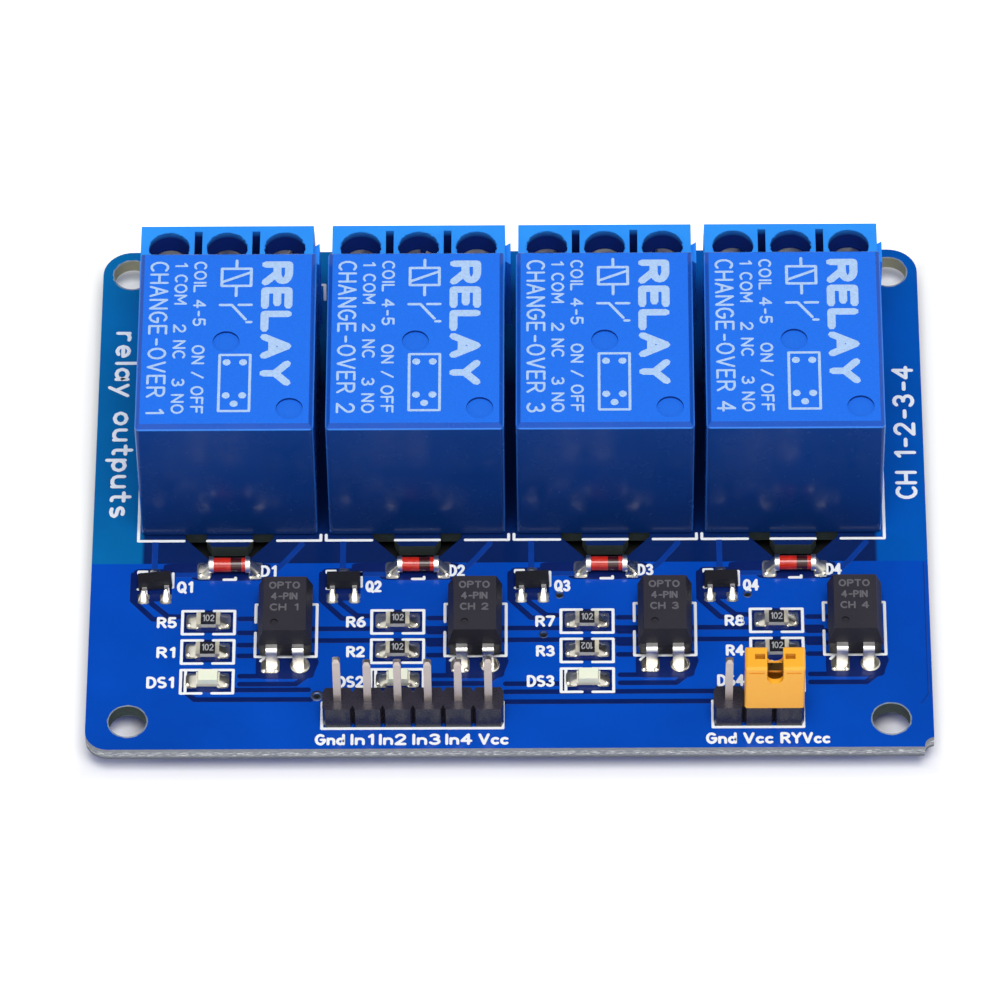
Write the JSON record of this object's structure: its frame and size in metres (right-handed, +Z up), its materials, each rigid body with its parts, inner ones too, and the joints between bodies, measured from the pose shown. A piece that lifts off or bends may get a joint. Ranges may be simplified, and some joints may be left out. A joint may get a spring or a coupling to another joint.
{
  "type": "relay board",
  "caption": "Relay circuit board: sealed relays in a row with screw terminals behind them, opto-isolated drivers and pin headers in front.",
  "frame": {"origin": "middle of the board's footprint, at the plane of the pin tips under it", "axes": "+X along the board to the right as seen from the pin headers, +Y from the pin headers to the screw terminals, +Z up out of the component side"},
  "size_m": [0.0716, 0.0544, 0.0181],
  "materials": {
    "solder_mask": "glossy solder mask over glass-epoxy",
    "solder": "bright tin solder",
    "relay_plastic": "moulded, slightly glossy",
    "base_plastic": "moulded",
    "iron": "zinc-plated iron",
    "bobbin_plastic": "moulded",
    "copper_wire": "enamelled copper wire",
    "contact_brass": "spring brass",
    "terminal_plastic": "moulded, glossy",
    "screw_steel": "nickel-plated steel",
    "cage_metal": "nickel-plated steel",
    "tinned_metal": "tinned copper alloy",
    "moulding_compound": "black epoxy moulding",
    "diode_glass": "orange glass",
    "chip_ceramic": "black overglaze on ceramic",
    "led_base": "epoxy base",
    "led_resin": "clear resin",
    "header_plastic": "glass-filled plastic",
    "pin_metal": "tinned brass pin",
    "jumper_plastic": "moulded"
  },
  "bodies": {
    "module": {"board": "solder_mask", "solder_joints": "solder", "relay_case_1": "relay_plastic", "relay_case_2": "relay_plastic", "relay_case_3": "relay_plastic", "relay_case_4": "relay_plastic", "relay_bases": "base_plastic", "relay_yokes": "iron", "relay_bobbins": "bobbin_plastic", "relay_windings": "copper_wire", "relay_pins": "contact_brass", "terminal_housing_1": "terminal_plastic", "terminal_housing_2": "terminal_plastic", "terminal_housing_3": "terminal_plastic", "terminal_housing_4": "terminal_plastic", "terminal_bars": "tinned_metal", "optocoupler_bodies": "moulding_compound", "optocoupler_leads": "tinned_metal", "diode_glasses": "diode_glass", "diode_caps": "tinned_metal", "transistor_bodies": "moulding_compound", "transistor_leads": "tinned_metal", "resistor_chips": "chip_ceramic", "resistor_caps": "tinned_metal", "led_bases": "led_base", "led_lenses": "led_resin", "header_6_body": "header_plastic", "header_3_body": "header_plastic", "header_pins": "pin_metal"},
    "armature_1": {"relay_armature_1": "iron"},
    "armature_2": {"relay_armature_2": "iron"},
    "armature_3": {"relay_armature_3": "iron"},
    "armature_4": {"relay_armature_4": "iron"},
    "screw_1": {"terminal_screw_1": "screw_steel"},
    "screw_2": {"terminal_screw_2": "screw_steel"},
    "screw_3": {"terminal_screw_3": "screw_steel"},
    "screw_4": {"terminal_screw_4": "screw_steel"},
    "screw_5": {"terminal_screw_5": "screw_steel"},
    "screw_6": {"terminal_screw_6": "screw_steel"},
    "screw_7": {"terminal_screw_7": "screw_steel"},
    "screw_8": {"terminal_screw_8": "screw_steel"},
    "screw_9": {"terminal_screw_9": "screw_steel"},
    "screw_10": {"terminal_screw_10": "screw_steel"},
    "screw_11": {"terminal_screw_11": "screw_steel"},
    "screw_12": {"terminal_screw_12": "screw_steel"},
    "clamp_1": {"terminal_cage_1": "cage_metal"},
    "clamp_2": {"terminal_cage_2": "cage_metal"},
    "clamp_3": {"terminal_cage_3": "cage_metal"},
    "clamp_4": {"terminal_cage_4": "cage_metal"},
    "clamp_5": {"terminal_cage_5": "cage_metal"},
    "clamp_6": {"terminal_cage_6": "cage_metal"},
    "clamp_7": {"terminal_cage_7": "cage_metal"},
    "clamp_8": {"terminal_cage_8": "cage_metal"},
    "clamp_9": {"terminal_cage_9": "cage_metal"},
    "clamp_10": {"terminal_cage_10": "cage_metal"},
    "clamp_11": {"terminal_cage_11": "cage_metal"},
    "clamp_12": {"terminal_cage_12": "cage_metal"},
    "jumper": {"jumper_cap": "jumper_plastic", "jumper_clip": "contact_brass"}
  },
  "joints": [
    {"name": "screw_turn_1", "type": "hinge", "parent": "module", "child": "screw_1", "pos_m": [-0.0294, 0.01931, 0.0101], "axis": [0, 0, 1], "range_deg": [-1480, 0]},
    {"name": "clamp_rise_1", "type": "slide", "parent": "module", "child": "clamp_1", "axis": [0, 0, 1], "range_m": [0, 0.00185]},
    {"name": "screw_turn_2", "type": "hinge", "parent": "module", "child": "screw_2", "pos_m": [-0.0244, 0.01931, 0.0101], "axis": [0, 0, 1], "range_deg": [-1480, 0]},
    {"name": "clamp_rise_2", "type": "slide", "parent": "module", "child": "clamp_2", "axis": [0, 0, 1], "range_m": [0, 0.00185]},
    {"name": "screw_turn_3", "type": "hinge", "parent": "module", "child": "screw_3", "pos_m": [-0.0194, 0.01931, 0.0101], "axis": [0, 0, 1], "range_deg": [-1480, 0]},
    {"name": "clamp_rise_3", "type": "slide", "parent": "module", "child": "clamp_3", "axis": [0, 0, 1], "range_m": [0, 0.00185]},
    {"name": "screw_turn_4", "type": "hinge", "parent": "module", "child": "screw_4", "pos_m": [-0.01282, 0.01931, 0.0101], "axis": [0, 0, 1], "range_deg": [-1480, 0]},
    {"name": "clamp_rise_4", "type": "slide", "parent": "module", "child": "clamp_4", "axis": [0, 0, 1], "range_m": [0, 0.00185]},
    {"name": "screw_turn_5", "type": "hinge", "parent": "module", "child": "screw_5", "pos_m": [-0.00782, 0.01931, 0.0101], "axis": [0, 0, 1], "range_deg": [-1480, 0]},
    {"name": "clamp_rise_5", "type": "slide", "parent": "module", "child": "clamp_5", "axis": [0, 0, 1], "range_m": [0, 0.00185]},
    {"name": "screw_turn_6", "type": "hinge", "parent": "module", "child": "screw_6", "pos_m": [-0.00282, 0.01931, 0.0101], "axis": [0, 0, 1], "range_deg": [-1480, 0]},
    {"name": "clamp_rise_6", "type": "slide", "parent": "module", "child": "clamp_6", "axis": [0, 0, 1], "range_m": [0, 0.00185]},
    {"name": "screw_turn_7", "type": "hinge", "parent": "module", "child": "screw_7", "pos_m": [0.00328, 0.01931, 0.0101], "axis": [0, 0, 1], "range_deg": [-1480, 0]},
    {"name": "clamp_rise_7", "type": "slide", "parent": "module", "child": "clamp_7", "axis": [0, 0, 1], "range_m": [0, 0.00185]},
    {"name": "screw_turn_8", "type": "hinge", "parent": "module", "child": "screw_8", "pos_m": [0.00828, 0.01931, 0.0101], "axis": [0, 0, 1], "range_deg": [-1480, 0]},
    {"name": "clamp_rise_8", "type": "slide", "parent": "module", "child": "clamp_8", "axis": [0, 0, 1], "range_m": [0, 0.00185]},
    {"name": "screw_turn_9", "type": "hinge", "parent": "module", "child": "screw_9", "pos_m": [0.01328, 0.01931, 0.0101], "axis": [0, 0, 1], "range_deg": [-1480, 0]},
    {"name": "clamp_rise_9", "type": "slide", "parent": "module", "child": "clamp_9", "axis": [0, 0, 1], "range_m": [0, 0.00185]},
    {"name": "screw_turn_10", "type": "hinge", "parent": "module", "child": "screw_10", "pos_m": [0.01938, 0.01931, 0.0101], "axis": [0, 0, 1], "range_deg": [-1480, 0]},
    {"name": "clamp_rise_10", "type": "slide", "parent": "module", "child": "clamp_10", "axis": [0, 0, 1], "range_m": [0, 0.00185]},
    {"name": "screw_turn_11", "type": "hinge", "parent": "module", "child": "screw_11", "pos_m": [0.02438, 0.01931, 0.0101], "axis": [0, 0, 1], "range_deg": [-1480, 0]},
    {"name": "clamp_rise_11", "type": "slide", "parent": "module", "child": "clamp_11", "axis": [0, 0, 1], "range_m": [0, 0.00185]},
    {"name": "screw_turn_12", "type": "hinge", "parent": "module", "child": "screw_12", "pos_m": [0.02938, 0.01931, 0.0101], "axis": [0, 0, 1], "range_deg": [-1480, 0]},
    {"name": "clamp_rise_12", "type": "slide", "parent": "module", "child": "clamp_12", "axis": [0, 0, 1], "range_m": [0, 0.00185]},
    {"name": "armature_pull_1", "type": "hinge", "parent": "module", "child": "armature_1", "pos_m": [-0.024, -0.00179, 0.01385], "axis": [1, 0, 0], "range_deg": [-3.5, 0], "stiffness_Nm_per_rad": 0.02, "springref_deg": 5.73},
    {"name": "armature_pull_2", "type": "hinge", "parent": "module", "child": "armature_2", "pos_m": [-0.0079, -0.00179, 0.01385], "axis": [1, 0, 0], "range_deg": [-3.5, 0], "stiffness_Nm_per_rad": 0.02, "springref_deg": 5.73},
    {"name": "armature_pull_3", "type": "hinge", "parent": "module", "child": "armature_3", "pos_m": [0.0082, -0.00179, 0.01385], "axis": [1, 0, 0], "range_deg": [-3.5, 0], "stiffness_Nm_per_rad": 0.02, "springref_deg": 5.73},
    {"name": "armature_pull_4", "type": "hinge", "parent": "module", "child": "armature_4", "pos_m": [0.0243, -0.00179, 0.01385], "axis": [1, 0, 0], "range_deg": [-3.5, 0], "stiffness_Nm_per_rad": 0.02, "springref_deg": 5.73},
    {"name": "jumper_lift", "type": "slide", "parent": "module", "child": "jumper", "axis": [0, 0, 1], "range_m": [0, 0.0065]}
  ],
  "couplings": [
    {"joint": "screw_turn_1", "follows": "clamp_rise_1", "rad_per_m": -13963},
    {"joint": "screw_turn_2", "follows": "clamp_rise_2", "rad_per_m": -13963},
    {"joint": "screw_turn_3", "follows": "clamp_rise_3", "rad_per_m": -13963},
    {"joint": "screw_turn_4", "follows": "clamp_rise_4", "rad_per_m": -13963},
    {"joint": "screw_turn_5", "follows": "clamp_rise_5", "rad_per_m": -13963},
    {"joint": "screw_turn_6", "follows": "clamp_rise_6", "rad_per_m": -13963},
    {"joint": "screw_turn_7", "follows": "clamp_rise_7", "rad_per_m": -13963},
    {"joint": "screw_turn_8", "follows": "clamp_rise_8", "rad_per_m": -13963},
    {"joint": "screw_turn_9", "follows": "clamp_rise_9", "rad_per_m": -13963},
    {"joint": "screw_turn_10", "follows": "clamp_rise_10", "rad_per_m": -13963},
    {"joint": "screw_turn_11", "follows": "clamp_rise_11", "rad_per_m": -13963},
    {"joint": "screw_turn_12", "follows": "clamp_rise_12", "rad_per_m": -13963}
  ]
}
